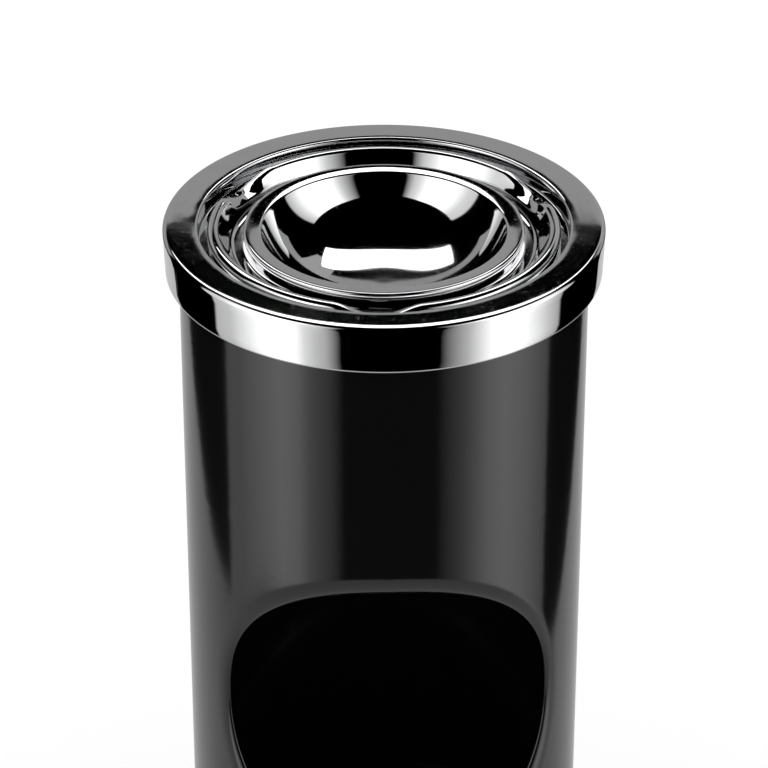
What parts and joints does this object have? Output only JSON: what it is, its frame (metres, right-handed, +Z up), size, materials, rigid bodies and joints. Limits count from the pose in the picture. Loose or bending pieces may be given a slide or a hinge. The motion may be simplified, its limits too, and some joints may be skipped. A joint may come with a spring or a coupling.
{
  "type": "ash and litter bin",
  "caption": "Free-standing round bin with a litter opening in front, a chrome collar, a lift-out ash tray with cigarette rests and bowl, and an inner liner bucket with a bail.",
  "frame": {"origin": "on the floor, under the middle of the bin", "axes": "+Z up along the tube; -Y towards the front opening; +X to the right seen from the front"},
  "size_m": [0.22, 0.22, 0.6],
  "materials": {
    "black_paint": "high gloss black stove enamel",
    "chrome": "bright polished chrome plate",
    "galvanised": "dull zinc with a faint spangle",
    "spring_steel": "oiled spring steel",
    "black_rubber": "matt moulded rubber"
  },
  "bodies": {
    "bin": {"body_shell": "black_paint", "base_pan": "black_paint", "base_rivet_1": "black_paint", "base_rivet_2": "black_paint", "base_rivet_3": "black_paint", "base_rivet_4": "black_paint", "base_rivet_5": "black_paint", "base_rivet_6": "black_paint", "floor_ring": "black_rubber"},
    "collar": {"collar": "chrome", "collar_clip_1": "spring_steel", "collar_clip_2": "spring_steel", "collar_clip_3": "spring_steel", "collar_clip_4": "spring_steel"},
    "tray": {"ash_tray": "chrome"},
    "bowl": {"ash_bowl": "chrome"},
    "liner": {"liner_bucket": "galvanised", "liner_base": "galvanised", "bail_ear_left": "galvanised", "bail_ear_right": "galvanised", "ear_rivet_1": "galvanised", "ear_rivet_2": "galvanised", "ear_rivet_3": "galvanised", "ear_rivet_4": "galvanised"},
    "bail": {"bail_handle": "spring_steel"}
  },
  "joints": [
    {"name": "collar_lift", "type": "slide", "parent": "bin", "child": "collar", "axis": [0, 0, 1], "range_m": [0, 0.67]},
    {"name": "tray_lift", "type": "slide", "parent": "collar", "child": "tray", "axis": [0, 0, 1], "range_m": [0, 0.06]},
    {"name": "bowl_lift", "type": "slide", "parent": "tray", "child": "bowl", "axis": [0, 0, 1], "range_m": [0, 0.06]},
    {"name": "liner_lift", "type": "slide", "parent": "bin", "child": "liner", "axis": [0, 0, 1], "range_m": [0, 0.603]},
    {"name": "bail_hinge", "type": "hinge", "parent": "liner", "child": "bail", "pos_m": [0, 0, 0.1856], "axis": [1, 0, 0], "range_deg": [0, 180]}
  ],
  "couplings": [
    {"joint": "liner_lift", "follows": "collar_lift", "ratio": 0.9}
  ]
}
